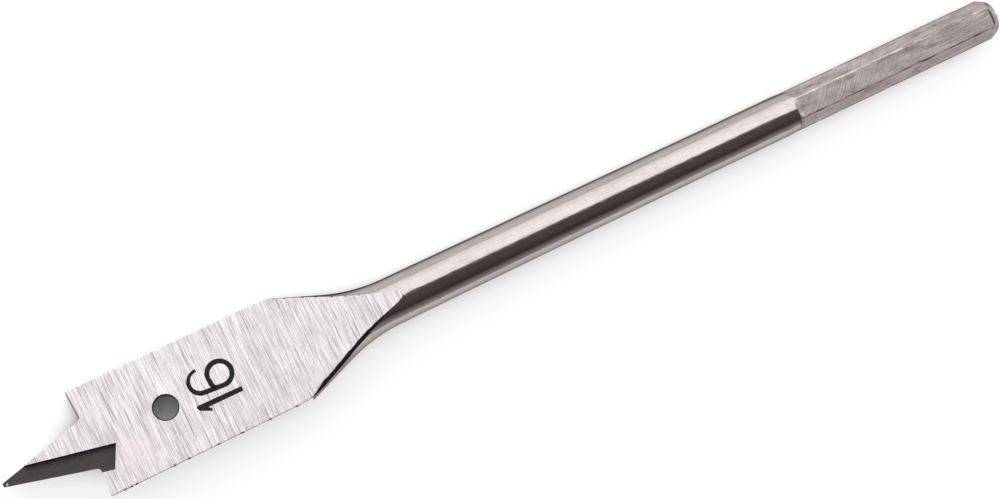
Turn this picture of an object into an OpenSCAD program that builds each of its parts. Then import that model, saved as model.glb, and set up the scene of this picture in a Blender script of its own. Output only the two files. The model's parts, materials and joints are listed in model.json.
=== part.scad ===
// Spade drill bit for wood, 16 mm, in one piece of steel.
// The tool is drawn with its tip at the origin and its axis along +X, then laid down on the bench.
// Its two halves are alike: a half turn about the axis brings one onto the other.

/* [Blade] */
// Diameter that the blade drills
blade_d = 16; // [12:0.5:24]
// How much narrower the blade is at the back end of its sides
back_taper = 0.12; // [0:0.02:0.4]
// Thickness between the two ground faces
blade_t = 3; // [2.4:0.1:3.6]
// Length of the blade sides behind the shoulders
side_len = 29.6; // [22:0.1:40]
// Radius of the corners where the sides turn into the neck
corner_r = 4; // [1:0.5:5]
// Relief angle behind the shoulders' cutting edges
relief_angle = 7; // [4:0.5:14]

/* [Point] */
// Length of the point ahead of the shoulders
point_len = 12.7; // [10:0.1:16]
// Angle between the two edges of the point
point_angle = 30; // [24:1:36]
// Width of the blunt tip
tip_w = 0.4; // [0.2:0.05:1]
// Relief angle behind the point's edges
point_relief = 2; // [0:0.5:8]
// Radius in the corner between point and shoulder
root_r = 0.7; // [0.5:0.1:2]
// Angle by which the shoulders lead at their outer ends
shoulder_lead = 3.5; // [0:0.5:8]

/* [Groove behind each point edge] */
// Depth of the groove along its wall
groove_depth = 0.9; // [0.3:0.05:1.1]
// Width of the groove, from its wall to where its floor runs out
groove_w = 3.5; // [2.5:0.1:4.5]
// Angle between the groove's wall and the axis
groove_angle = 11.8; // [6:0.2:16]
// Distance from the tip at which the wall crosses the axis
groove_cross = 8.9; // [6:0.1:11]
// Distance from the tip to the far end of the wall
groove_end = 15.8; // [13.5:0.1:19]
// Angle of the groove's end wall to a line square across the blade
groove_end_angle = 26; // [0:1:35]

/* [Hole in the blade] */
// Diameter of the hole
hole_d = 3.7; // [2:0.1:6]
// Distance from the shoulders to the middle of the hole
hole_back = 11.1; // [8:0.1:16]

/* [Neck] */
// Angle of the neck's sides to the axis
neck_angle = 21; // [15:1:30]
// Radius of the hollow between neck and shaft
neck_r = 24; // [10:1:30]
// Length of the parallel part of the ground faces, from the tip
face_len = 37; // [34:0.5:40]
// Radius of the wheel that turns from the parallel part into the ramp
wheel_r = 40; // [20:1:60]
// Angle of the ramp on which the faces rise out to the shaft
ramp_angle = 5.3; // [4.8:0.1:7]

/* [Shaft] */
// Length of the whole bit
total_len = 160; // [140:1:200]
// Diameter of the shaft where it leaves the neck
shaft_d = 6.92; // [6.5:0.01:8]
// Diameter of the parallel round stretch that the chuck grips
shank_d = 6.4; // [6.3:0.05:6.6]
// Length of that stretch
grip_len = 13; // [8:0.5:30]

/* [Hexagonal end] */
// Length of the flats, up to the start of their run-out
hex_len = 34.6; // [20:0.1:45]
// Width across the flats
hex_flats = 5.5; // [5.45:0.05:6]
// Diameter to which the hexagon's corners are turned down
hex_corners = 6.26; // [6:0.02:6.3]
// Length of the taper from the shank down to those corners
step_len = 1.2; // [0.5:0.1:3]
// Radius at which the flats run out on the round shaft
runout_r = 1.5; // [0.5:0.1:5]
// Turn of the flats against the blade's faces
hex_turn = 9; // [0:1:30]
// Length of the chamfer on the end
end_chamfer = 1.2; // [0.3:0.1:2]
// Angle of that chamfer to the axis
chamfer_angle = 30; // [15:5:60]

/* [Hidden] */
$fn = 96;
// How far a cutter stands clear of the stock
clear = 1;
// Steps in the arcs of the outline, of the point's root and of the flats' run-out
corner_steps = 8;
hollow_steps = 16;
root_steps = 10;
runout_steps = 12;
// Spacing of the places tried for the edge's touch on the bench
roll_step = 0.05;

// Radii of the turned outline
front_r = blade_d / 2;
side_r = front_r - back_taper / 2;
shaft_r = shaft_d / 2;
shank_r = shank_d / 2;
hex_r = hex_corners / 2;
end_r = hex_r - end_chamfer * tan(chamfer_angle);

// Places along the axis, from the tip
side_end = point_len + side_len;
neck_end = side_end + (side_r - shaft_r) / tan(neck_angle);
hex_start = total_len - hex_len;
grip_end = hex_start - runout_r - step_len;
grip_start = grip_end - grip_len;
hole_x = point_len + hole_back;

// An arc that meets a side of slope 0 and one at the neck's angle reaches this far from their corner
corner_reach = corner_r * tan(neck_angle / 2);
hollow_reach = neck_r * tan(neck_angle / 2);
taper_start = neck_end + hollow_reach;

// Half the point's width at the shoulders
root_y = tip_w / 2 + point_len * tan(point_angle / 2);

// Where the wheel's turn ends and the ramp begins, with the height of the face there
ramp_x = face_len + wheel_r * sin(ramp_angle);
ramp_z = blade_t / 2 + wheel_r * (1 - cos(ramp_angle));

// Places at which the blade's side turns into the neck and the neck into its hollow
corner_x = side_end - corner_reach;
cone_x = corner_x + corner_r * sin(neck_angle);
hollow_x = taper_start - neck_r * sin(neck_angle);

// Height of the ground face and radius of the stock behind the corner, at a distance from the tip
function face_z(x) =
    x < face_len ? blade_t / 2
    : x < ramp_x ? blade_t / 2 + wheel_r - sqrt(wheel_r ^ 2 - (x - face_len) ^ 2)
    : ramp_z + (x - ramp_x) * tan(ramp_angle);
function neck_radius(x) =
    x < cone_x ? side_r - corner_r + sqrt(corner_r ^ 2 - (x - corner_x) ^ 2)
    : x < hollow_x ? side_r - (x - side_end) * tan(neck_angle)
    : shaft_r + neck_r - sqrt(neck_r ^ 2 - (x - taper_start) ^ 2);

// The bit lies on its tapered shaft, rolled over until the edge of one face touches the bench
rest_pitch = atan((shaft_r - shank_r) / (grip_end - taper_start));
rest_lift = taper_start * sin(rest_pitch) + shaft_r * cos(rest_pitch);
function axis_h(x) = (rest_lift - x * sin(rest_pitch)) / cos(rest_pitch);
function roll_to_touch(x) = asin(axis_h(x) / neck_radius(x)) - asin(face_z(x) / neck_radius(x));
rest_roll = min([for (x = [corner_x:roll_step:neck_end - corner_reach]) roll_to_touch(x)]);

// Points of an arc about a centre, from one angle to another
function arc(centre, r, from, to, steps) =
    [for (i = [0:steps]) let (a = from + (to - from) * i / steps) centre + r * [cos(a), sin(a)]];

// Half outline of the stock, with the radius along X and the distance from the tip along Y
function stock_outline() = concat(
    [[0, 0], [front_r, 0]],
    arc([side_r - corner_r, corner_x], corner_r, 0, neck_angle, corner_steps),
    arc([shaft_r + neck_r, taper_start], neck_r, 180 + neck_angle, 180, hollow_steps),
    [
        [shank_r, grip_start],
        [shank_r, grip_end],
        [hex_r, grip_end + step_len],
        [hex_r, total_len - end_chamfer],
        [end_r, total_len],
        [0, total_len]
    ]
);

// The round stock: blade disc, neck, tapered shaft and shank turned about the axis
module stock() {
    rotate([90, 0, 90])
        rotate_extrude()
            polygon(stock_outline());
}

// What a grinding wheel takes off one side: a flat, a turn of the wheel's own radius, and a ramp
module face_cut() {
    width = blade_d + 2 * clear;
    translate([-clear, -width / 2, blade_t / 2])
        cube([face_len + clear, width, front_r]);
    translate([face_len, 0, blade_t / 2 + wheel_r])
        rotate([90, 0, 0])
            cylinder(r = wheel_r, h = width, center = true, $fn = 360);
    translate([ramp_x, 0, ramp_z])
        rotate([0, -ramp_angle, 0])
            translate([0, -width / 2, 0])
                cube([shaft_d / tan(ramp_angle), width, front_r]);
}

// Waste beside the point: a corner with a round root, seen from above with the root at the origin
function notch_outline() =
    let (
        reach = point_len + blade_d,
        edge = 180 - point_angle / 2,
        side = 270 - shoulder_lead,
        half = (side - edge) / 2,
        mid = edge + half,
        middle = root_r / sin(half) * [cos(mid), sin(mid)],
        edge_end = reach * [cos(edge), sin(edge)],
        shoulder_end = reach * [cos(side), sin(side)]
    )
    concat(
        arc(middle, root_r, side - 270, edge - 90, root_steps),
        [edge_end, edge_end + shoulder_end, shoulder_end]
    );

// Cuts one point edge and its shoulder, leaning back by the relief angle behind the cutting edges
module notch_cut() {
    translate([point_len, -root_y, 0])
        rotate([point_relief, -relief_angle, 0])
            linear_extrude(height = 2 * blade_d, center = true)
                polygon(notch_outline());
}

// Groove ground along one point edge: deep at its wall, with a floor that rises to the cutting edge
module groove_cut() {
    end_y = -(groove_end - groove_cross) * tan(groove_angle);
    reach = blade_d + point_len;
    intersection() {
        translate([groove_end, end_y, 0])
            linear_extrude(height = blade_t)
                polygon([
                    [0, 0],
                    reach * [-cos(groove_angle), sin(groove_angle)],
                    reach * [-cos(groove_angle), sin(groove_angle)] - [0, reach],
                    reach * [-sin(groove_end_angle), -cos(groove_end_angle)]
                ]);
        translate([groove_cross, 0, blade_t / 2])
            rotate([90, 0, 90 - groove_angle])
                linear_extrude(height = 2 * reach, center = true)
                    polygon([[0, clear], [0, -groove_depth], [-groove_w, 0], [-groove_w, clear]]);
    }
}

// One flat of the hexagon, with the cutter's own radius where it runs out
module flat_cut() {
    top = hex_flats / 2 + runout_r + shank_d;
    rotate([90, 0, 0])
        linear_extrude(height = 2 * shank_d, center = true)
            polygon(concat(
                arc([hex_start, hex_flats / 2 + runout_r], runout_r, 180, 270, runout_steps),
                [[total_len + clear, hex_flats / 2], [total_len + clear, top], [hex_start - runout_r, top]]
            ));
}

// The finished bit along +X, with one ground face up
module bit_along_axis() {
    difference() {
        stock();
        for (half = [0, 180])
            rotate([half, 0, 0]) {
                face_cut();
                notch_cut();
                groove_cut();
            }
        for (i = [0:5])
            rotate([hex_turn + 60 * i, 0, 0])
                flat_cut();
        translate([hole_x, 0, 0])
            cylinder(d = hole_d, h = blade_d, center = true);
    }
}

// The bit lying on the bench, middle of its length over the origin
module spade_bit() {
    color("silver")
        translate([-total_len / 2 * cos(rest_pitch), 0, rest_lift])
            rotate([0, rest_pitch, 0])
                rotate([-rest_roll, 0, 0])
                    bit_along_axis();
}

spade_bit();
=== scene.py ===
"""A 16 mm spade bit for wood, lying on a pale floor under one broad soft light.

Lengths of the bit are millimetres in its own frame: the tip at the origin, +X along the axis to the hexagonal
end, +Y across the blade and +Z out of the ground face that shows. Stage and camera are in metres.
"""

import json
import math

import bmesh
import bpy
import numpy as np
from mathutils import Matrix, Vector, noise


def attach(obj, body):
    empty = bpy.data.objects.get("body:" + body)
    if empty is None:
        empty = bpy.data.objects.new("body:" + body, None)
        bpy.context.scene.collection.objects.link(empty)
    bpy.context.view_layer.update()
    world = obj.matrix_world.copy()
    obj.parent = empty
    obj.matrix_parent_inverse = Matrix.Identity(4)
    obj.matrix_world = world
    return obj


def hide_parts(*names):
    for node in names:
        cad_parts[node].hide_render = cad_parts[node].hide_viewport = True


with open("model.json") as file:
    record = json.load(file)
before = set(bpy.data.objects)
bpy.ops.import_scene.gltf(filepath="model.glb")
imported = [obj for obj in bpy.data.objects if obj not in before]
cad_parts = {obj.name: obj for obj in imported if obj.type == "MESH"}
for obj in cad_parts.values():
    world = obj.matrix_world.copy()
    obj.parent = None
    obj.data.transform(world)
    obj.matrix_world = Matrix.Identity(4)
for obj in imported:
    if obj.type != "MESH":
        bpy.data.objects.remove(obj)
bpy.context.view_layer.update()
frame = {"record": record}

MM = 0.001

# Turned stock
FRONT_R = 8.0
SIDE_R = 7.94
SHAFT_R = 3.46
SHANK_R = 3.2
HEX_R = 3.13
TOTAL_LEN = 160.0
SIDE_END = 42.3
CORNER_R = 4.0
NECK_R = 24.0
NECK_SLOPE = math.radians(21)
GRIP_LEN = 13.0
STEP_LEN = 1.2
END_CHAMFER = 1.2
CHAMFER_SLOPE = math.radians(30)

# Ground faces, point, grooves and hole
BLADE_H = 1.5
FACE_LEN = 37.0
WHEEL_R = 40.0
RAMP = math.radians(5.3)
POINT_LEN = 12.7
HALF_POINT = math.radians(15)
TIP_W = 0.4
ROOT_R = 0.7
SHOULDER_LEAD = math.radians(3.5)
RELIEF = math.radians(7)
POINT_RELIEF = math.radians(2)
GROOVE_DEPTH = 0.9
GROOVE_W = 3.5
GROOVE_TURN = math.radians(11.8)
GROOVE_CROSS = 8.9
GROOVE_END = 15.8
GROOVE_END_TURN = math.radians(26)
HOLE_R = 1.85
HOLE_X = 23.8

# Hexagonal end
HEX_LEN = 34.6
HEX_H = 2.75
RUNOUT_R = 1.5
FIRST_FLAT = math.radians(39)

# Soft edges: sharp on the blade, rounder on the neck, and roundest where the wheel left a burr
BLADE_EDGE_R = 0.025
NECK_EDGE_R = 0.12
BURR_EDGE_R = 0.7
EDGE_RISE = 4.0
EDGE_FADE = 6.0
EDGE_RIPPLE = 0.3
HEX_EDGE_R = 0.06

# Corners of the blade's section count from +Y, +Z round the axis; one has the burr and the deep nicks
BURRED_CORNER = 1
NICK_DEPTH = 0.22
NICK_LEN = 0.16
NICK_DARK_DEPTH = 0.2 * NICK_DEPTH
SHALLOW_NICK = 0.4
NICKS = (14.3, 15.25, 16.0, 21.65, 23.7, 28.1, 31.7, 35.9, 40.0)

# Waviness of the hexagon's flats, which grows over this length
FLAT_WAVE = 0.07
WAVE_RISE = 3.0

# Round corners of the hexagon lie in opposite pairs: one about level with the bench and painted dark as
# painted shade, one rubbed bright
CORNER_PAIRS = 3
LEVEL_PAIR = 0
RUBBED_PAIR = 1
RUBBED_TO = 143.0
RUBBED_SPREAD = 6.0
RUBBED_FROM = 156.5
LEVEL_SHADE_FROM = -0.4
OTHER_DARK_FROM = -0.1
# Painted shadow: a dark line this long where each flat starts from its run-out.
RUNOUT_SHADE_LINE = 0.2

# The size number: the figure one as an outline from its head, the figure six as a hook, a bowl and a joint
NUMBER_HEAD = 27.6
ONE_LINE = -2.1
ONE_OUTLINE = (
    (0.0, 0.37),
    (6.7, 0.27),
    (6.7, -0.43),
    (1.45, -0.4),
    (1.85, -0.82),
    (1.72, -1.12),
    (0.2, -0.4),
    (-0.05, 0.04),
)
SIX_HOOK = {"centre": (29.52, 1.2), "r": 1.65, "start": 88, "end": 264, "count": 30}
SIX_BOWL = {"centre": (32.35, 1.06), "r": 1.72, "start": 268, "end": 556, "count": 52}
SIX_JOINT = [(30.7, 0.2), (30.82, -0.15), (31.0, -0.5)]
SIX_WIDTHS = [0.44, 0.54, 0.7, 0.7]
SIX_WIDTH_POINTS = [0, 12, 26]
SIX_UNEVEN = 0.12
MARK_SINK = 0.02
MARK_PROUD = 0.008

# Lip around the hole: how far it reaches inwards, over the face, down and up
LIP_IN = 0.13
LIP_OVER = 0.02
LIP_DOWN = 0.05
LIP_UP = 0.004

# Finishes of the body, in the order in which spade_bit() lists them
FACE, TURNED, MILLED, SIDE, EDGE, BURR = range(6)

# Edges sharper than these angles stay sharp in the shading
BODY_SHARP = math.radians(32)
MARK_SHARP = math.radians(60)

# Spans of each ring of the mesh
FLANK_SPANS = 14
EDGE_SPANS = 4
FACE_SPANS = 27
QUARTER = FLANK_SPANS + EDGE_SPANS + FACE_SPANS
RING = 4 * QUARTER
HEX_STRIP_SPANS = 6
HEX_EDGE_SPANS = 3
HEX_FLAT_SPANS = 6
HEX_HALF = HEX_STRIP_SPANS + HEX_EDGE_SPANS + HEX_FLAT_SPANS
HEX_SHIFT = round((FIRST_FLAT - math.pi / 6) / (2 * math.pi) * RING)
HOLE_STEPS = 96
ROOT_STEPS = 16

# Lengths over which the points of the round shaft's rings move, gap between two kinds of ring, and
# distances within which corners are joined before and after the cuts
FROM_BLADE_LEN = 14.0
TO_HEX_LEN = 6.0
RING_GAP = 0.002
WELD = 1e-5
CUT_WELD = 1e-4
TINY = 1e-6

# How far a cutter stands clear of the stock
CLEAR = 1.0

# Places along the axis
CORNER_X = SIDE_END - CORNER_R * math.tan(NECK_SLOPE / 2)
TAPER_X = SIDE_END + (SIDE_R - SHAFT_R) / math.tan(NECK_SLOPE) + NECK_R * math.tan(NECK_SLOPE / 2)
HEX_X = TOTAL_LEN - HEX_LEN
GRIP_END = HEX_X - RUNOUT_R - STEP_LEN
GRIP_X = GRIP_END - GRIP_LEN
RUNOUT_X = HEX_X - math.sqrt(RUNOUT_R**2 - (RUNOUT_R + HEX_H - HEX_R) ** 2)
BURR_X = CORNER_X + 1.0


def bit_frame():
    """The bit's own frame in the row frame, from the record's mounts: millimetres in, metres out."""
    mounts = {m["name"]: m for m in frame["record"]["mounts"]}
    along = Vector(mounts["shank"]["axis"]).normalized()
    out = Vector(mounts["hang_hole"]["axis"]).normalized()
    tip = Vector(mounts["hang_hole"]["pos_m"]) - along * HOLE_X * MM
    turn = Matrix((along, out.cross(along), out)).transposed()
    return Matrix.Translation(tip) @ turn.to_4x4() @ Matrix.Scale(MM, 4)


BIT = bit_frame()


def smooth(t):
    """A soft step from 0 to 1."""
    t = min(max(t, 0.0), 1.0)
    return t * t * (3 - 2 * t)


def stock_radius(x):
    """Radius of the turned stock at a distance from the tip."""
    if x <= CORNER_X:
        return FRONT_R + (SIDE_R - FRONT_R) * x / CORNER_X
    if x <= CORNER_X + CORNER_R * math.sin(NECK_SLOPE):
        return SIDE_R - CORNER_R + math.sqrt(CORNER_R**2 - (x - CORNER_X) ** 2)
    if x <= TAPER_X - NECK_R * math.sin(NECK_SLOPE):
        return SIDE_R - (x - SIDE_END) * math.tan(NECK_SLOPE)
    if x <= TAPER_X:
        return SHAFT_R + NECK_R - math.sqrt(NECK_R**2 - (x - TAPER_X) ** 2)
    end_r = HEX_R - END_CHAMFER * math.tan(CHAMFER_SLOPE)
    places = [TAPER_X, GRIP_X, GRIP_END, GRIP_END + STEP_LEN, TOTAL_LEN - END_CHAMFER, TOTAL_LEN]
    return float(np.interp(x, places, [SHAFT_R, SHANK_R, SHANK_R, HEX_R, HEX_R, end_r]))


def face_height(x):
    """Height of the ground face over the axis: level, a turn of the wheel's own radius, then a ramp."""
    if x <= FACE_LEN:
        return BLADE_H
    turn = min(x - FACE_LEN, WHEEL_R * math.sin(RAMP))
    return BLADE_H + WHEEL_R - math.sqrt(WHEEL_R**2 - turn**2) + (x - FACE_LEN - turn) * math.tan(RAMP)


def flat_height(x):
    """Height of a flat of the hexagon over the axis."""
    if x >= HEX_X:
        return HEX_H
    return HEX_H + RUNOUT_R - math.sqrt(RUNOUT_R**2 - (x - HEX_X) ** 2)


def face_tip():
    """Where the ground face runs out on the round shaft."""
    low, high = FACE_LEN, HEX_X - RUNOUT_R
    halvings = 50
    for _ in range(halvings):
        middle = (low + high) / 2
        low, high = (middle, high) if face_height(middle) < stock_radius(middle) else (low, middle)
    return low


FACE_TIP = face_tip()


def nick_depth(x, corner):
    """How deep a nick bites at this place into one of the blade's four long edges."""
    size = NICK_DEPTH if corner == BURRED_CORNER else NICK_DEPTH * SHALLOW_NICK
    squeeze, spacing = 0.3 + 0.2 * corner, 3.0
    depth = 0.0
    for i, place in enumerate(NICKS):
        centre = place if corner == BURRED_CORNER else SIDE_END - place * squeeze + spacing * i
        depth = max(depth, size * math.exp(-(((x - centre) / NICK_LEN) ** 2)))
    return depth


def edge_radius(x, corner):
    """Radius of one of the blade's four long edges, sharp on the blade and again where the face runs out."""
    worn = smooth((x - CORNER_X) / EDGE_RISE) * smooth((FACE_TIP - x) / EDGE_FADE)
    full = BURR_EDGE_R if corner == BURRED_CORNER else NECK_EDGE_R
    even = BLADE_EDGE_R + (full - BLADE_EDGE_R) * worn
    rate, row = 1.7, 7.3
    ripple = EDGE_RIPPLE * noise.noise(Vector((x * rate, corner * row, 0)))
    return even * (1 + ripple) + nick_depth(x, corner)


def blade_corner(x, corner):
    """A quarter of the blade's section, from the middle of its side to the middle of its face."""
    r, h = stock_radius(x), face_height(x)
    e = min(edge_radius(x, corner), h / 2)
    centre = math.sqrt(max((r - e) ** 2 - (h - e) ** 2, 0.0))
    meet = math.atan2(h - e, centre)
    flank = [(r * math.cos(a), r * math.sin(a)) for a in np.linspace(0, meet, FLANK_SPANS + 1)]
    edge = [
        (centre + e * math.cos(a), h - e + e * math.sin(a))
        for a in np.linspace(meet, math.pi / 2, EDGE_SPANS + 1)
    ]
    face = [(y, h) for y in np.linspace(centre, 0, FACE_SPANS + 1)]
    return flank + edge[1:] + face[1:]


def blade_ring(x):
    """Section of the blade or neck: two ground faces, two round sides and four soft edges."""
    right_up, left_up, left_down, right_down = (blade_corner(x, c) for c in range(4))
    return (
        right_up
        + [(-y, z) for y, z in reversed(left_up[:-1])]
        + [(-y, -z) for y, z in left_down[1:]]
        + [(y, -z) for y, z in reversed(right_down[1:-1])]
    )


def hex_ring(x):
    """Section of the hexagon: six flats with narrow round strips between them."""
    r, e = stock_radius(x), HEX_EDGE_R
    rate, row, layer = 0.7, 5.7, 2.0
    ring = []
    for i in range(2 * CORNER_PAIRS):
        wave = FLAT_WAVE * smooth((x - HEX_X) / WAVE_RISE) * noise.noise(Vector((x * rate, i * row, layer)))
        h = min(flat_height(x) + wave, r - TINY)
        centre = math.sqrt((r - e) ** 2 - (h - e) ** 2)
        meet = min(math.atan2(centre, h - e), math.pi / 6)
        half = [
            (r * math.sin(a), r * math.cos(a)) for a in np.linspace(math.pi / 6, meet, HEX_STRIP_SPANS + 1)
        ]
        half += [
            (centre + e * math.sin(a), h - e + e * math.cos(a))
            for a in np.linspace(meet, 0, HEX_EDGE_SPANS + 1)[1:]
        ]
        half += [(c, h) for c in np.linspace(centre, 0, HEX_FLAT_SPANS + 1)[1:]]
        sector = half[:-1] + [(-c, w) for c, w in reversed(half[1:])]
        turn = FIRST_FLAT + i * math.pi / 3
        across, out = (math.sin(turn), -math.cos(turn)), (math.cos(turn), math.sin(turn))
        ring += [(c * across[0] + w * out[0], c * across[1] + w * out[1]) for c, w in sector]
    return ring[-HEX_SHIFT:] + ring[:-HEX_SHIFT]


def round_ring(x):
    """Section of the round shaft, its points moving from the blade's spacing to the hexagon's."""
    even = np.arange(RING) * 2 * math.pi / RING
    near = np.unwrap([math.atan2(z, y) for y, z in blade_ring(FACE_TIP)])
    far = np.unwrap([math.atan2(z, y) for y, z in hex_ring(RUNOUT_X)])
    from_blade = 1 - smooth((x - FACE_TIP) / FROM_BLADE_LEN)
    to_hex = smooth((x - (RUNOUT_X - TO_HEX_LEN)) / TO_HEX_LEN)
    angles = even + (near - even) * from_blade + (far - even) * to_hex
    r = stock_radius(x)
    return [(r * math.cos(a), r * math.sin(a)) for a in angles]


def stations():
    """Distances from the tip at which the body's rings stand, each with its kind of section."""
    shaft_x = FACE_TIP + FROM_BLADE_LEN
    spans = [
        {"start": 0.0, "end": CORNER_X, "rings": 208, "section": blade_ring},
        {"start": CORNER_X, "end": FACE_TIP - RING_GAP, "rings": 64, "section": blade_ring},
        {"start": FACE_TIP + RING_GAP, "end": shaft_x, "rings": 20, "section": round_ring},
        {"start": shaft_x, "end": GRIP_X, "rings": 12, "section": round_ring},
        {"start": GRIP_X, "end": GRIP_END, "rings": 6, "section": round_ring},
        {"start": GRIP_END, "end": GRIP_END + STEP_LEN, "rings": 2, "section": round_ring},
        {"start": RUNOUT_X + RING_GAP, "end": HEX_X, "rings": 12, "section": hex_ring},
        {"start": HEX_X, "end": TOTAL_LEN - END_CHAMFER, "rings": 80, "section": hex_ring},
        {"start": TOTAL_LEN - END_CHAMFER, "end": TOTAL_LEN, "rings": 4, "section": hex_ring},
    ]
    found = []
    for span in spans:
        for x in np.linspace(span["start"], span["end"], span["rings"] + 1):
            if not found or x > found[-1][0] + TINY:
                found.append((float(x), span["section"]))
    return found


def new_piece(name, mesh, *materials):
    """A mesh as an object in the scene, with its materials in order."""
    piece = bpy.data.objects.new(name, mesh)
    bpy.context.scene.collection.objects.link(piece)
    for material in materials:
        mesh.materials.append(material)
    return piece


def strip_finish(x, corner):
    """Finish of a round corner of the hexagon: one pair rubbed bright near its ends, all dark in places; the
    pair level with the bench dark the most, as painted shade.
    """
    rate, row, layer = 0.55, 9.1, 6.0
    worn = noise.noise(Vector((x * rate, corner * row, layer)))
    pair = corner % CORNER_PAIRS
    if pair == RUBBED_PAIR and (x < RUBBED_TO + RUBBED_SPREAD * worn or x > RUBBED_FROM):
        return TURNED
    dark_from = LEVEL_SHADE_FROM if pair == LEVEL_PAIR else OTHER_DARK_FROM
    return EDGE if worn > dark_from else MILLED


def finish_at(x, k):
    """Finish of the k-th span of a ring."""
    if x > TOTAL_LEN - END_CHAMFER:
        return TURNED
    if x >= RUNOUT_X:
        across = (k - HEX_SHIFT) % (2 * HEX_HALF)
        corner = (k - HEX_SHIFT + HEX_HALF) // (2 * HEX_HALF) % (2 * CORNER_PAIRS)
        # Painted shade: the corners level with the bench get a wider dark strip.
        wider = HEX_EDGE_SPANS + 1 if corner % CORNER_PAIRS == LEVEL_PAIR else 0
        strip = HEX_STRIP_SPANS + wider
        if strip <= across < 2 * HEX_HALF - strip:
            # Painted shadow line where the flat starts.
            return EDGE if x < RUNOUT_X + RUNOUT_SHADE_LINE else MILLED
        return strip_finish(x, corner)
    if x >= FACE_TIP:
        return TURNED
    from_side = min(k % (2 * QUARTER), 2 * QUARTER - 1 - k % (2 * QUARTER))
    if from_side >= FLANK_SPANS + EDGE_SPANS:
        return FACE
    corner = k // QUARTER
    burred = corner == BURRED_CORNER and x > BURR_X
    # Painted shade: the burred edge and the deeper nicks take the black finish.
    if from_side >= FLANK_SPANS and (burred or nick_depth(x, corner) > NICK_DARK_DEPTH):
        return BURR
    return SIDE if x < SIDE_END else TURNED


def turned_body(finishes):
    """The stock with its ground faces and milled flats, before point, grooves and hole are cut."""
    mesh = bpy.data.meshes.new("spade_bit_steel")
    bm = bmesh.new()
    rows, places = [], []
    for x, section in stations():
        rows.append([bm.verts.new((x, y, z)) for y, z in section(x)])
        places.append(x)
    for i in range(len(rows) - 1):
        middle = (places[i] + places[i + 1]) / 2
        for k in range(RING):
            n = (k + 1) % RING
            quad = bm.faces.new((rows[i][k], rows[i + 1][k], rows[i + 1][n], rows[i][n]))
            quad.material_index = finish_at(middle, k)
    bm.faces.new(rows[0])
    bm.faces.new(reversed(rows[-1])).material_index = MILLED
    bmesh.ops.remove_doubles(bm, verts=bm.verts, dist=WELD)
    bmesh.ops.recalc_face_normals(bm, faces=bm.faces)
    bm.to_mesh(mesh)
    bm.free()
    return new_piece("spade_bit_steel", mesh, *finishes)


def slab(bm, outline, bottom, top):
    """Adds a straight prism over an outline."""
    low = [bm.verts.new((x, y, bottom)) for x, y in outline]
    high = [bm.verts.new((x, y, top)) for x, y in outline]
    count = len(outline)
    bm.faces.new(reversed(low))
    bm.faces.new(high)
    for k in range(count):
        n = (k + 1) % count
        bm.faces.new((low[k], low[n], high[n], high[k]))


def prism(name, outline, bottom, top, place, material):
    """A straight prism set in the bit's frame, for cutting."""
    mesh = bpy.data.meshes.new(name)
    bm = bmesh.new()
    slab(bm, outline, bottom, top)
    bmesh.ops.transform(bm, matrix=place, verts=bm.verts)
    bmesh.ops.recalc_face_normals(bm, faces=bm.faces)
    bm.to_mesh(mesh)
    bm.free()
    return new_piece(name, mesh, material)


def combine(body, tool, operation):
    """Cuts body with tool, or keeps what both share, and removes the tool."""
    step = body.modifiers.new(tool.name, "BOOLEAN")
    step.operation = operation
    step.object = tool
    step.solver = "EXACT"
    step.material_mode = "TRANSFER"
    graph = bpy.context.evaluated_depsgraph_get()
    made = bpy.data.meshes.new_from_object(body.evaluated_get(graph))
    body.modifiers.clear()
    before = body.data
    body.data = made
    bpy.data.meshes.remove(before)
    bpy.data.objects.remove(tool)


def notch_outline():
    """Waste beside the point with a round root, the root's corner at the origin."""
    reach = POINT_LEN + 2 * FRONT_R
    edge, side = math.pi - HALF_POINT, 1.5 * math.pi - SHOULDER_LEAD
    half = (side - edge) / 2
    centre = Vector((math.cos(edge + half), math.sin(edge + half))) * ROOT_R / math.sin(half)
    root = [
        centre + ROOT_R * Vector((math.cos(a), math.sin(a)))
        for a in np.linspace(side - 1.5 * math.pi, edge - math.pi / 2, ROOT_STEPS + 1)
    ]
    edge_end = reach * Vector((math.cos(edge), math.sin(edge)))
    side_end = reach * Vector((math.cos(side), math.sin(side)))
    return root + [edge_end, edge_end + side_end, side_end]


def cut_point(body, half_turn, edge_steel, groove_steel):
    """Cuts one edge of the point with its shoulder, and the groove behind the edge."""
    root_y = TIP_W / 2 + POINT_LEN * math.tan(HALF_POINT)
    lean = Matrix.Rotation(-RELIEF, 4, "Y") @ Matrix.Rotation(POINT_RELIEF, 4, "X")
    place = half_turn @ Matrix.Translation((POINT_LEN, -root_y, 0)) @ lean
    notch = prism("notch", notch_outline(), -2 * FRONT_R, 2 * FRONT_R, place, edge_steel)
    combine(body, notch, "DIFFERENCE")

    reach = 2 * FRONT_R + POINT_LEN
    end_y = -(GROOVE_END - GROOVE_CROSS) * math.tan(GROOVE_TURN)
    wall = reach * Vector((-math.cos(GROOVE_TURN), math.sin(GROOVE_TURN)))
    end_wall = reach * Vector((-math.sin(GROOVE_END_TURN), -math.cos(GROOVE_END_TURN)))
    plan = [(0, 0), wall, wall - Vector((0, reach)), end_wall]
    place = half_turn @ Matrix.Translation((GROOVE_END, end_y, 0))
    groove = prism("groove", plan, 0, 2 * BLADE_H, place, groove_steel)
    wedge = [(0, CLEAR), (0, -GROOVE_DEPTH), (-GROOVE_W, 0), (-GROOVE_W, CLEAR)]
    stand = Matrix.Rotation(math.pi / 2 - GROOVE_TURN, 4, "Z") @ Matrix.Rotation(math.pi / 2, 4, "X")
    place = half_turn @ Matrix.Translation((GROOVE_CROSS, 0, BLADE_H)) @ stand
    combine(groove, prism("wedge", wedge, -reach, reach, place, groove_steel), "INTERSECT")
    combine(body, groove, "DIFFERENCE")


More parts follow.
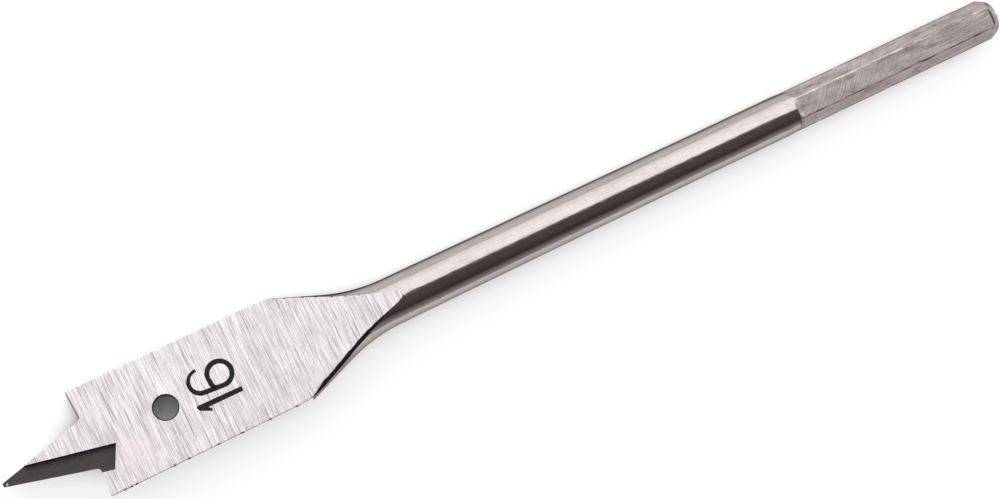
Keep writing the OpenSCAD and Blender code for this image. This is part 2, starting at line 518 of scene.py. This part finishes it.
def cut_hole(body, wall_steel):
    """Cuts the round hole through the blade."""
    turns = np.linspace(0, 2 * math.pi, HOLE_STEPS + 1)[:-1]
    circle = [(HOLE_R * math.cos(a), HOLE_R * math.sin(a)) for a in turns]
    place = Matrix.Translation((HOLE_X, 0, 0))
    combine(body, prism("hole", circle, -2 * BLADE_H, 2 * BLADE_H, place, wall_steel), "DIFFERENCE")


def weld(body):
    """Joins corners that the cuts left closer together than the exported numbers can tell apart."""
    bm = bmesh.new()
    bm.from_mesh(body.data)
    bmesh.ops.remove_doubles(bm, verts=bm.verts, dist=CUT_WELD)
    bm.to_mesh(body.data)
    bm.free()


def keep_bit_places(mesh):
    """Stores each point's place in the bit's frame for the finishes, and where it lies across its flat."""
    co = np.zeros(len(mesh.vertices) * 3, np.float32)
    mesh.vertices.foreach_get("co", co)
    mesh.attributes.new("bit_place", "FLOAT_VECTOR", "POINT").data.foreach_set("vector", co)
    co = co.reshape(-1, 3)
    turn = np.arctan2(co[:, 2], co[:, 1]) - FIRST_FLAT
    turn -= np.round(turn / (math.pi / 3)) * math.pi / 3
    across = np.hypot(co[:, 1], co[:, 2]) * np.sin(turn)
    mesh.attributes.new("across_flat", "FLOAT", "POINT").data.foreach_set("value", across.astype(np.float32))


def settle(piece, sharp_angle):
    """Moves a finished piece from the bit's frame into the row frame and lets it ride on the bit."""
    keep_bit_places(piece.data)
    piece.data.transform(BIT)
    piece.data.shade_smooth()
    piece.data.set_sharp_from_angle(angle=sharp_angle)
    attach(piece, "root")


def stroke(bm, path, widths, low, high):
    """A flat band along a path, with square ends and a width for each point."""
    points = [Vector(p) for p in path]
    left, right = [], []
    for k, p in enumerate(points):
        along = (points[min(k + 1, len(points) - 1)] - points[max(k - 1, 0)]).normalized()
        side = Vector((-along.y, along.x)) * widths[k] / 2
        left.append(p + side)
        right.append(p - side)
    lines = [[bm.verts.new((p.x, p.y, z)) for p in row for z in (high, low)] for row in zip(left, right)]
    for a, b in zip(lines, lines[1:]):
        bm.faces.new((a[0], b[0], b[2], a[2]))
        bm.faces.new((a[1], a[3], b[3], b[1]))
        bm.faces.new((a[0], a[1], b[1], b[0]))
        bm.faces.new((a[2], b[2], b[3], a[3]))
    for row in (lines[0], lines[-1]):
        bm.faces.new((row[0], row[2], row[3], row[1]))


def bow(centre, r, start, end, count):
    """Points of an arc, with its angles in degrees."""
    angles = np.radians(np.linspace(start, end, count))
    return [(centre[0] + r * math.cos(a), centre[1] + r * math.sin(a)) for a in angles]


def size_number(material):
    """The drilled width in millimetres, marked on the blade with its head towards the tip."""
    low, high = BLADE_H - MARK_SINK, BLADE_H + MARK_PROUD
    one = [(NUMBER_HEAD + x, ONE_LINE + y) for x, y in ONE_OUTLINE]
    six = bow(**SIX_HOOK) + bow(**SIX_BOWL) + SIX_JOINT
    rate, layer = 1.3, 4.0
    widths = []
    for width, (x, y) in zip(np.interp(range(len(six)), SIX_WIDTH_POINTS + [len(six)], SIX_WIDTHS), six):
        widths.append(width * (1 + SIX_UNEVEN * noise.noise(Vector((x, y, layer)) * rate)))
    mesh = bpy.data.meshes.new("size_number")
    bm = bmesh.new()
    slab(bm, one, low, high)
    stroke(bm, six, widths, low, high)
    bmesh.ops.recalc_face_normals(bm, faces=bm.faces)
    bm.to_mesh(mesh)
    bm.free()
    return new_piece("size_number", mesh, material)


def hole_burr(material):
    """A thin lip left by the punch around the upper mouth of the hole, black as painted shade at the hole's
    rim.
    """
    path = bow((HOLE_X, 0), HOLE_R + (LIP_OVER - LIP_IN) / 2, start=0, end=360, count=HOLE_STEPS + 1)
    mesh = bpy.data.meshes.new("hole_burr")
    bm = bmesh.new()
    stroke(bm, path, [LIP_IN + LIP_OVER] * len(path), BLADE_H - LIP_DOWN, BLADE_H + LIP_UP)
    bmesh.ops.recalc_face_normals(bm, faces=bm.faces)
    bm.to_mesh(mesh)
    bm.free()
    return new_piece("hole_burr", mesh, material)


def add(tree, kind, inputs=None, **settings):
    """Adds a node, sets its properties and fills its inputs with values or links."""
    node = tree.nodes.new(kind)
    for name, value in settings.items():
        setattr(node, name, value)
    for name, value in (inputs or {}).items():
        if isinstance(value, bpy.types.NodeSocket):
            tree.links.new(value, node.inputs[name])
        else:
            node.inputs[name].default_value = value
    return node


def new_group(name, inputs, outputs):
    """An empty node group with named sockets; returns the tree, its inputs and its output node."""
    tree = bpy.data.node_groups.new(name, "ShaderNodeTree")
    for label, kind, value in inputs:
        socket = tree.interface.new_socket(label, in_out="INPUT", socket_type=kind)
        if value is not None:
            socket.default_value = value
    for label, kind in outputs:
        tree.interface.new_socket(label, in_out="OUTPUT", socket_type=kind)
    return tree, tree.nodes.new("NodeGroupInput").outputs, tree.nodes.new("NodeGroupOutput")


def streaks_group():
    """Lines of tooling: noise stretched along one direction, cut between two levels."""
    tree, given, result = new_group(
        "streaks",
        [
            ("Place", "NodeSocketVector", None),
            ("Stretch", "NodeSocketVector", (1.0, 1.0, 1.0)),
            ("Shift", "NodeSocketVector", (0.0, 0.0, 0.0)),
            ("Detail", "NodeSocketFloat", 3.0),
            ("Low", "NodeSocketFloat", 0.35),
            ("High", "NodeSocketFloat", 0.65),
        ],
        [("Mask", "NodeSocketFloat")],
    )
    place = add(
        tree,
        "ShaderNodeVectorMath",
        {0: given["Place"], 1: given["Stretch"], 2: given["Shift"]},
        operation="MULTIPLY_ADD",
    )
    lines = add(
        tree,
        "ShaderNodeTexNoise",
        {"Vector": place.outputs[0], "Scale": 1.0, "Detail": given["Detail"], "Roughness": 0.62},
    )
    mask = add(
        tree,
        "ShaderNodeMapRange",
        {"Value": lines.outputs["Fac"], "From Min": given["Low"], "From Max": given["High"]},
        interpolation_type="SMOOTHSTEP",
    )
    tree.links.new(mask.outputs["Result"], result.inputs["Mask"])
    return tree


def mix_colour(tree, factor, low, high):
    """A colour between two others; returns the socket that carries it."""
    node = add(tree, "ShaderNodeMix", {0: factor, 6: low, 7: high}, data_type="RGBA")
    return node.outputs[2]


def tint_group():
    """Steel colour: a bright tone dulled by fine lines and clouding, with deep scratches over it."""
    tree, given, result = new_group(
        "steel_tint",
        [
            ("Bright", "NodeSocketColor", (0.75, 0.72, 0.73, 1.0)),
            ("Dull", "NodeSocketColor", (0.6, 0.57, 0.58, 1.0)),
            ("Deep", "NodeSocketColor", (0.3, 0.28, 0.28, 1.0)),
            ("Lines", "NodeSocketFloat", 0.0),
            ("Scratches", "NodeSocketFloat", 0.0),
            ("Clouding", "NodeSocketFloat", 0.0),
        ],
        [("Color", "NodeSocketColor")],
    )
    dull = add(
        tree,
        "ShaderNodeMath",
        {0: given["Clouding"], 1: 0.4, 2: given["Lines"]},
        operation="MULTIPLY_ADD",
        use_clamp=True,
    )
    lined = mix_colour(tree, dull.outputs[0], given["Bright"], given["Dull"])
    tree.links.new(mix_colour(tree, given["Scratches"], lined, given["Deep"]), result.inputs["Color"])
    return tree


STREAKS = streaks_group()
TINT = tint_group()


class Finish:
    """A steel finish in the making: its tree, its shader and the bit's own coordinates."""

    def __init__(self, name, roughness, metallic=1.0, rim=1.0):
        """Starts the material; rim is how much the steel keeps of its shine at a glance."""
        self.material = bpy.data.materials.new(name)
        self.material.use_nodes = True
        self.tree = self.material.node_tree
        self.shader = self.tree.nodes["Principled BSDF"]
        self.shader.inputs["Metallic"].default_value = metallic
        self.shader.inputs["Roughness"].default_value = roughness
        self.shader.inputs["Specular Tint"].default_value = (rim, 0.96 * rim, 0.94 * rim, 1.0)
        self.place = add(self.tree, "ShaderNodeAttribute", attribute_name="bit_place").outputs["Vector"]

    def streaks(self, stretch, low, high, shift=(0, 0, 0), detail=3.0, place=None):
        """A mask of lines or patches in the bit's own coordinates."""
        node = add(self.tree, "ShaderNodeGroup", node_tree=STREAKS)
        self.tree.links.new(place or self.place, node.inputs["Place"])
        for name, value in (
            ("Stretch", stretch),
            ("Shift", shift),
            ("Low", low),
            ("High", high),
            ("Detail", detail),
        ):
            node.inputs[name].default_value = value
        return node.outputs["Mask"]

    def scaled(self, mask, share, base=0.0):
        """A mask times a share, from a base up."""
        return add(
            self.tree, "ShaderNodeMath", {0: mask, 1: share, 2: base}, operation="MULTIPLY_ADD"
        ).outputs[0]

    def tint(self, bright, dull, deep, lines, scratches, clouding):
        """Colours the steel by three masks."""
        node = add(self.tree, "ShaderNodeGroup", node_tree=TINT)
        for name, colour in (("Bright", bright), ("Dull", dull), ("Deep", deep)):
            node.inputs[name].default_value = (*colour, 1.0)
        for name, mask in (("Lines", lines), ("Scratches", scratches), ("Clouding", clouding)):
            self.tree.links.new(mask, node.inputs[name])
        self.tree.links.new(node.outputs["Color"], self.shader.inputs["Base Color"])

    def blush(self, centre, reach, colour, share):
        """A soft patch of another colour about one place."""
        gap = add(
            self.tree, "ShaderNodeVectorMath", {0: self.place, 1: centre}, operation="DISTANCE"
        ).outputs["Value"]
        mask = add(
            self.tree,
            "ShaderNodeMapRange",
            {"Value": gap, "From Min": reach, "From Max": 0.0, "To Max": share},
            interpolation_type="SMOOTHSTEP",
        ).outputs["Result"]
        base = self.shader.inputs["Base Color"]
        steel = base.links[0].from_socket
        self.tree.links.new(mix_colour(self.tree, mask, steel, (*colour, 1.0)), base)

    def paint_rim_shade(self, near, far):
        """How much the steel keeps of its shine at a glance: on the side at -Y and on the side at +Y; the
        lower value on one side is painted shade, a painted reflection of the shadowed floor there.
        """
        side = add(self.tree, "ShaderNodeSeparateXYZ", {0: self.place}).outputs["Y"]
        share = add(
            self.tree, "ShaderNodeMapRange", {"Value": side, "From Min": -SHAFT_R, "From Max": SHAFT_R}
        ).outputs["Result"]
        shine = mix_colour(self.tree, share, (*near, 1.0), (*far, 1.0))
        self.tree.links.new(shine, self.shader.inputs["Specular Tint"])

    def rough(self, mask, low, high):
        """Roughness between two values, by a mask."""
        self.tree.links.new(self.scaled(mask, high - low, low), self.shader.inputs["Roughness"])

    def bump(self, height, depth, strength):
        """Relief from a mask, with its depth in millimetres."""
        node = add(
            self.tree, "ShaderNodeBump", {"Height": height, "Distance": depth * MM, "Strength": strength}
        )
        self.tree.links.new(node.outputs["Normal"], self.shader.inputs["Normal"])


def ground_face_steel():
    """Blade faces, surface ground straight across: fine lines square to the axis and some deeper ones."""
    finish = Finish("ground_face_steel", roughness=0.25)
    fine = finish.streaks((13.0, 0.2, 0.5), low=0.39, high=0.62, detail=3.0)
    deep = finish.streaks((8.0, 0.13, 0.5), low=0.57, high=0.65, shift=(3.1, 7.7, 0), detail=5.0)
    clouds = finish.streaks((0.22, 0.3, 0.3), low=0.4, high=0.7)
    finish.tint(
        bright=(0.57, 0.545, 0.56),
        dull=(0.36, 0.34, 0.35),
        deep=(0.15, 0.135, 0.14),
        lines=finish.scaled(fine, share=0.95),
        scratches=finish.scaled(deep, share=0.85),
        clouding=finish.scaled(clouds, share=0.5),
    )
    finish.blush(centre=(17.5, -3.4, BLADE_H), reach=4.5, colour=(0.51, 0.45, 0.445), share=0.55)
    finish.rough(fine, low=0.18, high=0.3)
    finish.bump(fine, depth=0.006, strength=0.5)
    return finish.material


def turned_steel():
    """Neck and shaft, drawn and ground round: satin, with faint rings and a fine grain."""
    finish = Finish("turned_steel", roughness=0.16)
    rings = finish.streaks((6.0, 0.5, 0.5), low=0.35, high=0.7, detail=4.0)
    grain = finish.streaks((0.7, 5.0, 5.0), low=0.4, high=0.75, shift=(0, 5, 2), detail=4.0)
    clouds = finish.streaks((0.12, 0.5, 0.5), low=0.4, high=0.75)
    finish.tint(
        bright=(0.478, 0.448, 0.432),
        dull=(0.392, 0.362, 0.343),
        deep=(0.262, 0.235, 0.219),
        lines=finish.scaled(rings, share=0.3),
        scratches=finish.scaled(grain, share=0.2),
        clouding=finish.scaled(clouds, share=1.3),
    )
    finish.rough(grain, low=0.12, high=0.26)
    finish.bump(grain, depth=0.003, strength=0.25)
    # Painted shade: the shine at a glance is cut almost to nothing on the +Y side, giving the dark line along
    # that edge.
    finish.paint_rim_shade(near=(0.45, 0.42, 0.4), far=(0.03, 0.029, 0.028))
    return finish.material


def side_steel_painted_bright():
    """Sides of the blade, ground along their length, with a painted highlight: a steel colour far brighter
    than the face's, standing in for the pale floor they mirror.
    """
    finish = Finish("side_steel_painted_bright", roughness=0.2)
    lines = finish.streaks((0.2, 3.0, 6.0), low=0.35, high=0.7, detail=4.0)
    grain = finish.streaks((3.0, 3.0, 3.0), low=0.5, high=0.8, detail=5.0)
    clouds = finish.streaks((0.3, 0.4, 0.4), low=0.4, high=0.7)
    # Painted reflection: these colours are much brighter than the rest of the steel so that the sides read
    # white.
    finish.tint(
        bright=(0.92, 0.9, 0.9),
        dull=(0.82, 0.79, 0.79),
        deep=(0.6, 0.57, 0.56),
        lines=lines,
        scratches=finish.scaled(grain, share=0.4),
        clouding=clouds,
    )
    finish.rough(lines, low=0.15, high=0.28)
    finish.bump(lines, depth=0.004, strength=0.3)
    return finish.material


def milled_steel():
    """Flats of the hexagon: a milling cutter's arcs, fading into drawn lines at the end, on mottled steel."""
    finish = Finish("milled_steel", roughness=0.42, metallic=0.95, rim=0.3)
    tree = finish.tree
    parts = add(tree, "ShaderNodeSeparateXYZ", {0: finish.place})
    across = add(tree, "ShaderNodeAttribute", attribute_name="across_flat").outputs["Fac"]
    arc_middle, arc_sweep = 4.2, 0.11
    off_middle = add(tree, "ShaderNodeMath", {0: across, 1: arc_middle}, operation="ADD").outputs[0]
    square = add(tree, "ShaderNodeMath", {0: off_middle, 1: off_middle}, operation="MULTIPLY").outputs[0]
    along = add(
        tree, "ShaderNodeMath", {0: square, 1: arc_sweep, 2: parts.outputs["X"]}, operation="MULTIPLY_ADD"
    ).outputs[0]
    swept = add(tree, "ShaderNodeCombineXYZ", {0: along, 1: across, 2: parts.outputs["Z"]}).outputs[0]
    swirls = finish.streaks((2.6, 0.12, 0.1), low=0.36, high=0.66, detail=3.0, place=swept)
    drawn = finish.streaks((0.4, 3.4, 3.4), low=0.36, high=0.7, shift=(4, 1, 8), detail=4.0)
    fade_start, fade_end, fade_share = 134.0, 148.0, 0.65
    far_end = add(
        tree,
        "ShaderNodeMapRange",
        {"Value": parts.outputs["X"], "From Min": fade_start, "From Max": fade_end, "To Max": fade_share},
    ).outputs["Result"]
    arcs = add(tree, "ShaderNodeMix", {0: far_end, 2: swirls, 3: drawn}).outputs[0]
    stains = finish.streaks((0.25, 0.8, 0.8), low=0.46, high=0.76, shift=(9, 2, 4), detail=4.0)
    clouds = finish.streaks((0.2, 0.5, 0.5), low=0.4, high=0.62, shift=(1, 6, 3))
    finish.tint(
        bright=(0.62, 0.555, 0.536),
        dull=(0.37, 0.328, 0.314),
        deep=(0.2, 0.168, 0.145),
        lines=finish.scaled(arcs, share=0.55),
        scratches=finish.scaled(stains, share=0.8),
        clouding=finish.scaled(clouds, share=1.1),
    )
    finish.rough(arcs, low=0.36, high=0.48)
    finish.bump(arcs, depth=0.03, strength=0.6)
    return finish.material


def groove_steel():
    """Grooves behind the cutting edges: dark, lined along the groove, with a black tip and a painted glint on
    it.
    """
    finish = Finish("groove_steel", roughness=0.6, metallic=0.5)
    finish.shader.inputs["Specular IOR Level"].default_value = 0.15
    lines = finish.streaks((0.5, 4.0, 1.0), low=0.3, high=0.7, detail=4.0)
    grain = finish.streaks((5.0, 5.0, 5.0), low=0.45, high=0.75, detail=5.0)
    clouds = finish.streaks((0.3, 0.4, 0.4), low=0.4, high=0.7)
    finish.tint(
        bright=(0.066, 0.06, 0.06),
        dull=(0.051, 0.0465, 0.0465),
        deep=(0.035, 0.031, 0.031),
        lines=lines,
        scratches=grain,
        clouding=clouds,
    )
    finish.blush(centre=(0.1, -0.03, 1.1), reach=0.42, colour=(0.006, 0.006, 0.006), share=1.0)
    # Painted highlight: a bright spot at the tip stands in for its glint.
    finish.blush(centre=(0.5, -0.18, 1.09), reach=0.26, colour=(0.6, 0.58, 0.57), share=1.0)
    finish.rough(grain, low=0.55, high=0.68)
    finish.bump(lines, depth=0.006, strength=0.4)
    return finish.material


def dark_edge_steel_and_shade():
    """Point edges, shoulders, the wall of the hole and dark places on the hexagon's corners: a dark steel,
    which on the corners level with the bench and at the start of each flat is painted shade.
    """
    finish = Finish("dark_edge_steel_and_shade", roughness=0.45)
    lines = finish.streaks((0.6, 0.6, 5.0), low=0.35, high=0.7, detail=4.0)
    grain = finish.streaks((4.0, 4.0, 4.0), low=0.5, high=0.8, detail=5.0)
    clouds = finish.streaks((0.4, 0.4, 0.4), low=0.4, high=0.7)
    finish.tint(
        bright=(0.22, 0.2, 0.18),
        dull=(0.165, 0.147, 0.13),
        deep=(0.088, 0.078, 0.068),
        lines=lines,
        scratches=finish.scaled(grain, share=0.5),
        clouding=clouds,
    )
    finish.rough(lines, low=0.4, high=0.52)
    finish.bump(lines, depth=0.006, strength=0.4)
    return finish.material


def burr_black():
    """Burr along the neck, in the nicks of the blade's edge and round the hole: black, as painted shade of
    these gaps and hollows.
    """
    finish = Finish("burr_black", roughness=0.5, metallic=0.3)
    finish.shader.inputs["Specular IOR Level"].default_value = 0.1
    grain = finish.streaks((5.0, 5.0, 5.0), low=0.45, high=0.75, detail=5.0)
    lines = finish.streaks((0.5, 4.0, 4.0), low=0.35, high=0.7, detail=4.0)
    clouds = finish.streaks((0.6, 0.6, 0.6), low=0.4, high=0.7)
    finish.tint(
        bright=(0.022, 0.02, 0.019),
        dull=(0.015, 0.0135, 0.013),
        deep=(0.008, 0.007, 0.007),
        lines=lines,
        scratches=grain,
        clouding=clouds,
    )
    finish.rough(grain, low=0.42, high=0.6)
    finish.bump(grain, depth=0.006, strength=0.4)
    return finish.material


def mark_black():
    """The size number, burnt black into the face, with a little steel grain showing."""
    finish = Finish("mark_black", roughness=0.5, metallic=0.0)
    finish.shader.inputs["Specular IOR Level"].default_value = 0.15
    fine = finish.streaks((5.0, 0.16, 0.5), low=0.5, high=0.9, detail=4.0)
    grain = finish.streaks((4.0, 4.0, 4.0), low=0.55, high=0.85, detail=5.0)
    clouds = finish.streaks((0.8, 0.8, 0.8), low=0.4, high=0.7)
    finish.tint(
        bright=(0.010, 0.009, 0.009),
        dull=(0.018, 0.016, 0.016),
        deep=(0.04, 0.036, 0.036),
        lines=fine,
        scratches=grain,
        clouding=clouds,
    )
    finish.rough(fine, low=0.45, high=0.6)
    return finish.material


def spade_bit():
    """The whole bit in steel, in place of the plain solid."""
    edge_steel, groove, burr = dark_edge_steel_and_shade(), groove_steel(), burr_black()
    finishes = (ground_face_steel(), turned_steel(), milled_steel(), side_steel_painted_bright(), edge_steel, burr)
    body = turned_body(finishes)
    for half_turn in (Matrix.Identity(4), Matrix.Rotation(math.pi, 4, "X")):
        cut_point(body, half_turn, edge_steel, groove)
    cut_hole(body, edge_steel)
    weld(body)
    settle(body, BODY_SHARP)
    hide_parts("spade_bit")
    for mark in (size_number(mark_black()), hole_burr(burr)):
        settle(mark, MARK_SHARP)


def pale_floor():
    """A wide floor that reads as white and still takes the bit's shadow."""
    half = 20.0
    shade_reach, shade_dark, shade_pale = 0.006, 0.3, 0.6
    least_lift, full_lift, pale = 0.032, 0.68, 0.42
    corners = [(-half, -half, 0), (half, -half, 0), (half, half, 0), (-half, half, 0)]
    mesh = bpy.data.meshes.new("pale_floor")
    mesh.from_pydata(corners, [], [range(len(corners))])
    material = bpy.data.materials.new("pale_floor")
    material.use_nodes = True
    tree = material.node_tree
    tree.nodes.remove(tree.nodes["Principled BSDF"])
    path = add(tree, "ShaderNodeLightPath").outputs
    seen = add(
        tree,
        "ShaderNodeMath",
        {0: path["Is Camera Ray"], 1: path["Is Glossy Ray"]},
        operation="ADD",
        use_clamp=True,
    ).outputs[0]
    seen = add(
        tree, "ShaderNodeMath", {0: seen, 1: path["Is Transmission Ray"]}, operation="ADD", use_clamp=True
    ).outputs[0]
    cover = add(tree, "ShaderNodeAmbientOcclusion", {"Distance": shade_reach}, samples=8).outputs["AO"]
    open_floor = add(
        tree,
        "ShaderNodeMapRange",
        {
            "Value": cover,
            "From Min": shade_dark,
            "From Max": shade_pale,
            "To Min": least_lift,
            "To Max": full_lift,
        },
        interpolation_type="SMOOTHSTEP",
    ).outputs["Result"]
    lift = add(tree, "ShaderNodeMath", {0: seen, 1: open_floor}, operation="MULTIPLY").outputs[0]
    glow = add(tree, "ShaderNodeEmission", {"Color": (1, 1, 1, 1), "Strength": lift})
    paint = add(tree, "ShaderNodeBsdfDiffuse", {"Color": (pale, pale, pale, 1)})
    both = add(tree, "ShaderNodeAddShader", {0: paint.outputs[0], 1: glow.outputs[0]})
    tree.links.new(both.outputs[0], tree.nodes["Material Output"].inputs["Surface"])
    new_piece("pale_floor", mesh, material)


def soft_light():
    """One broad light over the back half of the sky, a dark card over the front and fill from both ends."""
    world = bpy.data.worlds.new("soft_light")
    world.use_nodes = True
    bpy.context.scene.world = world
    tree = world.node_tree
    toward = add(tree, "ShaderNodeTexCoord").outputs["Generated"]
    parts = add(tree, "ShaderNodeSeparateXYZ", {0: toward})
    tilt = add(
        tree, "ShaderNodeMath", {0: parts.outputs["Y"], 1: parts.outputs["Z"]}, operation="ARCTAN2"
    ).outputs[0]
    share = add(
        tree, "ShaderNodeMath", {0: tilt, 1: 1 / math.pi, 2: 0.5}, operation="MULTIPLY_ADD", use_clamp=True
    ).outputs[0]
    sky = add(tree, "ShaderNodeValToRGB", {0: share})
    # Angle from straight up towards +Y, in degrees, and the light from there
    levels = [
        (-90, (0.52, 0.485, 0.465)),
        (-72, (0.3, 0.275, 0.262)),
        (-54, (0.068, 0.055, 0.053)),
        (-42, (0.083, 0.068, 0.067)),
        (-24, (0.128, 0.108, 0.107)),
        (-5, (0.125, 0.106, 0.105)),
        (9, (0.18, 0.155, 0.15)),
        (12, (1.91, 1.89, 1.91)),
        (45, (1.88, 1.85, 1.86)),
        (68, (1.7, 1.66, 1.65)),
        (80, (1.5, 1.46, 1.44)),
        (87, (1.05, 1.02, 1.0)),
        (90, (0.35, 0.33, 0.32)),
    ]
    stops = sky.color_ramp.elements
    while len(stops) < len(levels):
        stops.new(0.5)
    for stop, (degrees, colour) in zip(stops, levels):
        stop.position = (degrees + 90) / 180
        stop.color = (*colour, 1)
    aside = add(tree, "ShaderNodeMath", {0: parts.outputs["X"]}, operation="ABSOLUTE").outputs[0]
    fill_start, fill_full, fill_level = 0.5, 0.66, 0.8
    fill = add(
        tree,
        "ShaderNodeMapRange",
        {"Value": aside, "From Min": fill_start, "From Max": fill_full, "To Max": fill_level},
        interpolation_type="SMOOTHSTEP",
    ).outputs["Result"]
    lit = add(
        tree,
        "ShaderNodeMix",
        {0: 1.0, 6: sky.outputs["Color"], 7: fill},
        data_type="RGBA",
        blend_type="LIGHTEN",
    )
    background = tree.nodes["Background"]
    tree.links.new(lit.outputs[2], background.inputs["Color"])
    background.inputs["Strength"].default_value = 1.0


def camera():
    """The photograph's view: from above, a little to the tip's side."""
    lens = bpy.data.cameras.new("camera")
    lens.sensor_width = 36.0
    lens.lens = 65.263
    lens.clip_start = 0.01
    view = bpy.data.objects.new("camera", lens)
    bpy.context.scene.collection.objects.link(view)
    view.location = (-0.05385, 0.02859, 0.25714)
    view.rotation_euler = (math.radians(-1.155), math.radians(-12.664), math.radians(-24.662))
    bpy.context.scene.camera = view


spade_bit()
pale_floor()
soft_light()
camera()
bpy.context.scene.view_settings.view_transform = "Standard"
